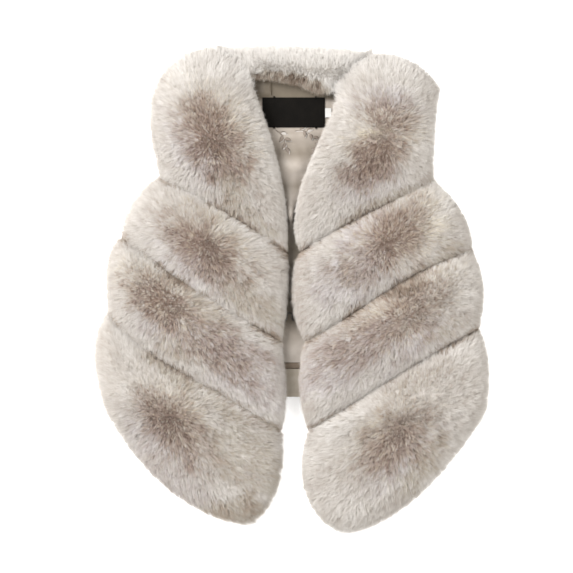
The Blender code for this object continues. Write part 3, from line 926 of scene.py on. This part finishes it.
def cut_of(name):
    """Size of the smallest slanted rectangle round a node's plan, and the plan's area, in metres."""
    corners, triangles = solid_shape(name)
    plan = corners[:, :2]
    sides = [np.ptp(turned(plan, degrees), axis=0) * MM for degrees in range(90)]
    flat = sorted(min(sides, key=np.prod).tolist())
    first, second, third = (plan[triangles[:, corner]] for corner in range(3))
    (ax, ay), (bx, by) = (second - first).T, (third - first).T
    area = np.clip(ax * by - ay * bx, 0, None).sum() / 2 * MM * MM
    return Cut(tuple(flat), float(area))


def declare_sheet(node):
    cut = cut_of(node)


def make_fur():
    """The pelt and the pile of each front band, of the collar and of the back."""
    material = fur_material()
    for number, name in enumerate(FURS):
        rng = np.random.default_rng((SEED, number))
        mesh = rounded_solid(name)
        envelope = fur_envelope(name, mesh)
        pile = add_piece(name + "_pile", grow_pile(name, envelope, rng), material)
        pelt_mesh(name, envelope, mesh, rng)
        pelt = add_piece(name + "_pelt", mesh, material)
        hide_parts(name)
        declare_sheet(name)


def shaded_along(tree, place, colour, shades):
    """A colour darkened with painted shade by given strengths at given levels of Y."""
    low, high = shades[0].y, shades[-1].y
    parts = add_node(tree, "SeparateXYZ", {"Vector": place})
    limits = {"From Min": low * MM, "From Max": high * MM}
    level = add_node(tree, "MapRange", {"Value": parts.outputs["Y"], **limits})
    stops = [((row.y - low) / (high - low), [row.strength ** power for power in SHADE_WARMTH])
             for row in shades]
    ramp = colour_ramp(tree, level.outputs["Result"], stops)
    blend = add_node(tree, "Mix", {"A": colour, "B": ramp, "Factor": 1.0}, data_type="RGBA",
                     blend_type="MULTIPLY")
    return blend.outputs["Result"]


def cloth_material(name, shades=()):
    """Woven cloth: threads that cross, soft uneven colour, and painted shade along Y where shades are
    given.
    """
    cloth = CLOTHS[name]
    material, tree, shader = new_material(name)
    place = add_node(tree, "TexCoord", {}).outputs["Object"]

    def threads(direction):
        inputs = {"Vector": place, "Scale": WAVE_SCALE / (cloth.pitch * MM), "Distortion": 0.6}
        return add_node(tree, "TexWave", inputs, bands_direction=direction).outputs["Fac"]

    def mixed(first, second, share):
        return add_node(tree, "Mix", {"A": first, "B": second, "Factor": share}).outputs["Result"]

    uneven = add_node(tree, "TexNoise", {"Vector": place, "Scale": 90.0, "Detail": 5.0})
    weave = mixed(threads("X"), threads("Y"), share=0.5)
    shade = mixed(weave, uneven.outputs["Fac"], share=0.6)
    colour = colour_ramp(tree, shade, ((0.25, cloth.dark), (0.75, cloth.light)))
    if shades:
        colour = shaded_along(tree, place, colour, shades)
    bump = add_node(tree, "Bump", {"Height": weave, "Strength": cloth.relief, "Distance": 0.15 * MM})
    set_inputs(tree, shader, {"Base Color": colour, "Normal": bump.outputs["Normal"],
                              "Roughness": cloth.roughness, "Specular IOR Level": cloth.specular})
    return material


def lacquer_material():
    """Black lacquer, a little worn where the noise is high."""
    material, tree, shader = new_material("black_lacquer")
    noise = add_node(tree, "TexNoise", {"Scale": 900.0})
    stops = ((0.45, (0.012, 0.011, 0.010)), (0.75, (0.05, 0.045, 0.04)))
    colour = colour_ramp(tree, noise.outputs["Fac"], stops)
    set_inputs(tree, shader, {"Base Color": colour, "Roughness": 0.35})
    return material


def grid_faces(index):
    """Quads between the rows and columns of a grid of corners."""
    quads = np.stack((index[:-1, :-1], index[1:, :-1], index[1:, 1:], index[:-1, 1:]), axis=-1)
    return quads.reshape(-1, 4)


def smooth_mesh(name, points, faces):
    mesh = bpy.data.meshes.new(name)
    mesh.from_pydata((points * MM).tolist(), [], faces)
    mesh.shade_smooth()
    return mesh


def sheet_mesh(name, points, thick):
    """A closed sheet under a grid of points."""
    rows, columns = points.shape[:2]
    count = rows * columns
    under = points - (0.0, 0.0, thick)
    index = np.arange(count).reshape(rows, columns)
    top = grid_faces(index)
    rim = np.concatenate((index[0, :-1], index[:-1, -1], index[-1, :0:-1], index[:0:-1, 0]))
    after = np.roll(rim, -1)
    sides = np.column_stack((rim, after, after + count, rim + count))
    faces = np.concatenate((top, top[:, ::-1] + count, sides))
    corners = np.concatenate((points.reshape(-1, 3), under.reshape(-1, 3)))
    mesh = smooth_mesh(name, corners, faces.tolist())
    mesh.set_sharp_from_angle(angle=math.radians(50))
    return mesh


Tube = namedtuple("Tube", "points widths")


def even_tube(points, width):
    widths = np.full(len(points), width)
    widths[[0, -1]] *= TUBE_END
    return Tube(points, widths)


def tube_mesh(name, tubes, height, sides=6):
    """Flattened tubes along paths, as wide as they say at each point, in one mesh."""
    turns = np.arange(sides) * (2 * math.pi / sides)
    points, faces, count = [], [], 0
    for path, widths in tubes:
        along = unit(np.gradient(path, axis=0))
        across = unit(np.cross(along, UP))
        upward = np.cross(across, along)
        ring = (across[:, None] * np.cos(turns)[None, :, None] * widths[:, None, None] / 2
                + upward[:, None] * np.sin(turns)[None, :, None] * (height / 2))
        points.append((path[:, None] + ring).reshape(-1, 3))
        index = count + np.arange(len(path) * sides).reshape(-1, sides)
        faces += grid_faces(np.column_stack((index, index[:, 0])).T).tolist()
        faces += index[0, ::-1].tolist(), index[-1].tolist()
        count += index.size
    return smooth_mesh(name, np.concatenate(points), faces)


def lining_top(x, y):
    """Height of the lining's upper face, which swells only where nothing lies on it."""
    levels, *sides = np.array(NECK_OPENING).T
    left, right = (np.interp(y, levels, side) for side in sides)
    share = (x - (left + right) / 2) / ((right - left) / 2)
    open_part = smooth(FULLNESS * (1 - share * share)) * step(y, SWELL_START) * step(y, SWELL_END)
    rise = np.zeros_like(x)
    for hump in HUMPS:
        rise += hump.rise * np.exp(-((x - hump.x) / hump.width) ** 2 - ((y - hump.y) / hump.length) ** 2)
    wrinkles = np.prod([np.sin(wrinkle.x * x + wrinkle.y * y) for wrinkle in WRINKLES], axis=0)
    across = smooth((PLEAT.edge - x) / PLEAT.fall) * smooth((x - PLEAT.edge + PLEAT.width) / PLEAT.fade)
    along = smooth((y - PLEAT.low) / PLEAT.fade) * smooth((PLEAT.high - y) / PLEAT.fade)
    return LINING_TOP + open_part * (rise + WRINKLE_RISE * (1 + wrinkles)) + PLEAT.rise * across * along


def node_width(name):
    """Levels of a flat node and its left and right ends at each."""
    corners, _ = solid_shape(name)
    level = np.round(corners[:, 1], 1)
    levels = np.unique(level)
    left = [corners[level == y, 0].min() for y in levels]
    right = [corners[level == y, 0].max() for y in levels]
    return levels, np.array(left), np.array(right)


def flat_grid(name, rows, columns):
    """Plan points over a flat node, at given shares from its upper end and its left end."""
    levels, left, right = node_width(name)
    y = mix(levels[-1], levels[0], rows)
    start, end = np.interp(y, levels, left), np.interp(y, levels, right)
    x = mix(start[:, None], end[:, None], columns)
    return x, np.broadcast_to(y[:, None], x.shape)


def sprig_tubes(sprig):
    """One sprig in plan: a bent stem, and leaves that grow from it."""
    run = np.linspace(0, 1, 12)
    stem = np.column_stack((run, STEM_BEND * np.sin(math.pi * run)))
    tubes = [even_tube(stem, SPRIG_LINE)]
    for leaf in LEAVES:
        foot = np.array([np.interp(leaf.along, run, stem[:, axis]) for axis in range(2)])
        rib = np.column_stack((LEAF_LENGTH * run, RIB_BEND * np.sin(math.pi * run)))
        fullness = mix(LEAF_TIP, 1, np.sin(math.pi * run ** LEAF_SKEW))
        tubes.append(Tube(foot + turned(rib, leaf.turn), sprig.size * LEAF_WIDTH * fullness))

    def placed(points):
        return turned(points, sprig.turn) * sprig.size + (sprig.x, sprig.y)

    return [Tube(placed(tube.points), tube.widths) for tube in tubes]


def on_lining(plan, lift):
    return np.column_stack((plan, lining_top(plan[:, 0], plan[:, 1]) + lift))


def run_places(runs):
    return np.concatenate([np.linspace(*run) for run in runs])


def even_grid(name, rows, columns):
    return flat_grid(name, np.linspace(0, 1, rows), np.linspace(0, 1, columns))


def lay_cloth(node, name, points, thick, cloth):
    """A sheet of cloth under a grid of points, in place of a flat node."""
    mesh = sheet_mesh(name, np.stack(points, axis=-1), thick)
    piece = add_piece(name, mesh, cloth)
    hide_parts(node)
    return piece


def make_lining():
    """The lining with its sprigs, a dark hem band of painted shade, and the facing below it."""
    # The satin's colour carries painted shade
    satin = cloth_material("lining_satin", LINING_SHADES)
    x, y = flat_grid("back_lining", run_places(LINING_ROWS), run_places(LINING_COLUMNS))
    points = (x, y, lining_top(x, y))
    lining = lay_cloth("back_lining", "back_lining_cloth", points, LINING_THICK, satin)

    tubes = [tube for sprig in SPRIGS for tube in sprig_tubes(sprig)]
    for layer in PRINTS:
        placed = [Tube(on_lining(tube.points + layer.shift, layer.lift), tube.widths) for tube in tubes]
        name = layer.cloth.replace("sprig", "lining_sprigs")
        mesh = tube_mesh(name, placed, SPRIG_HEIGHT)
        add_piece(name, mesh, cloth_material(layer.cloth))

    # Painted shade: the dark band under the lining's hem fold
    columns = np.linspace(HEM_BAND.inset, 1 - HEM_BAND.inset, 60)
    x, _ = flat_grid("back_lining", np.array((1.0,)), columns)
    path = np.column_stack((x[0], np.full(x.size, HEM_BAND.y), np.full(x.size, LINING_TOP)))
    mesh = tube_mesh("lining_hem_shade_band", [even_tube(path, HEM_BAND.width)], HEM_BAND.thick)
    band = add_piece("lining_hem_shade_band", mesh, cloth_material("hem_shade"))

    x, y = even_grid("back_hem_facing", 12, 60)
    points = (x, y, np.full(x.shape, LINING_TOP))
    facing = lay_cloth("back_hem_facing", "back_hem_facing_cloth", points, LINING_THICK,
                       cloth_material("facing_rib"))
    declare_sheet("back_lining")
    declare_sheet("back_hem_facing")


def node_box(name):
    """Lowest and highest corner of a node, in millimetres."""
    return (np.array(corner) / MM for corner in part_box(name))


def label_tacks(low, high):
    """Stitches over the upper and lower edge of a label."""
    along = np.linspace(-0.5, 0.5, 5)
    threads = []
    for place in TACK_PLACES:
        for edge in (low[1], high[1]):
            for number in range(TACK_STITCHES):
                x = np.full(len(along), place + TACK_PITCH * (number - (TACK_STITCHES - 1) / 2))
                z = high[2] + TACK_ARCH * np.cos(math.pi * along) - TACK_SINK
                threads.append(even_tube(np.column_stack((x, edge + TACK_LENGTH * along, z)), TACK_THREAD))
    return tube_mesh("neck_label_tacks", threads, TACK_THREAD)


def make_labels():
    """The bare neck label, tacked down at its edges, and the bare size tag beside it."""
    woven = cloth_material("label_ribbon")
    low, high = node_box("neck_label")
    x, y = even_grid("neck_label", 25, 49)
    across = (x - low[0]) / (high[0] - low[0])
    down = (high[1] - y) / (high[1] - low[1])
    turn = RIPPLE_TURNS[0] * across + RIPPLE_TURNS[1] * down
    z = high[2] + LABEL_RIPPLE * np.sin(turn) * np.sin(math.pi * down)
    label = lay_cloth("neck_label", "neck_label_ribbon", (x, y, z), high[2] - low[2], woven)
    tacks = add_piece("neck_label_tacks", label_tacks(low, high), woven)

    low, high = node_box("size_tag")
    x, y = even_grid("size_tag", 13, 10)
    down = (high[1] - y) / (high[1] - low[1])
    z = high[2] + TAG_CURL * down * down
    tag = lay_cloth("size_tag", "size_tag_ribbon", (x, y, z), high[2] - low[2],
                    cloth_material("tag_ribbon"))
    declare_sheet("neck_label")


def finish_hook_eye():
    """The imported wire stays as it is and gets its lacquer."""
    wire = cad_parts["hook_eye"]
    wire.data.materials.clear()
    wire.data.materials.append(lacquer_material())


def make_stage():
    """A pale floor, two soft boxes, an even sky and the camera above."""
    half = FLOOR_SIZE / 2 * MM
    mesh = bpy.data.meshes.new("floor")
    mesh.from_pydata([(-half, -half, 0), (half, -half, 0), (half, half, 0), (-half, half, 0)], [],
                     [(0, 1, 2, 3)])
    material, tree, shader = new_material("floor")
    set_inputs(tree, shader, {"Base Color": (*FLOOR_COLOUR, 1.0), "Roughness": 0.9,
                              "Emission Color": (1.0, 1.0, 1.0, 1.0), "Emission Strength": FLOOR_GLOW})
    mesh.materials.append(material)
    new_object("floor", mesh)

    for box in SOFT_BOXES:
        lamp = bpy.data.lights.new(box.name, "AREA")
        lamp.size = box.size * MM
        lamp.energy = box.watts
        lamp.color = box.colour
        item = new_object(box.name, lamp)
        item.location = (box.x * MM, box.y * MM, box.z * MM)
        item.rotation_euler = (-item.location).to_track_quat("-Z", "Y").to_euler()

    world = bpy.data.worlds.new("sky")
    world.use_nodes = True
    sky = world.node_tree.nodes["Background"]
    set_inputs(world.node_tree, sky, {"Color": (*SKY_COLOUR, 1.0), "Strength": SKY_STRENGTH})
    bpy.context.scene.world = world

    camera = bpy.data.cameras.new("camera")
    camera.sensor_width = SENSOR_WIDTH
    camera.lens = SENSOR_WIDTH * (CAMERA_HEIGHT - OUTLINE_HEIGHT) / VIEW_WIDTH
    eye = new_object("camera", camera)
    eye.location = (VIEW_CENTRE[0] * MM, VIEW_CENTRE[1] * MM, CAMERA_HEIGHT * MM)
    bpy.context.scene.camera = eye
    bpy.context.scene.view_settings.view_transform = "Standard"


make_stage()
make_fur()
make_lining()
make_labels()
finish_hook_eye()
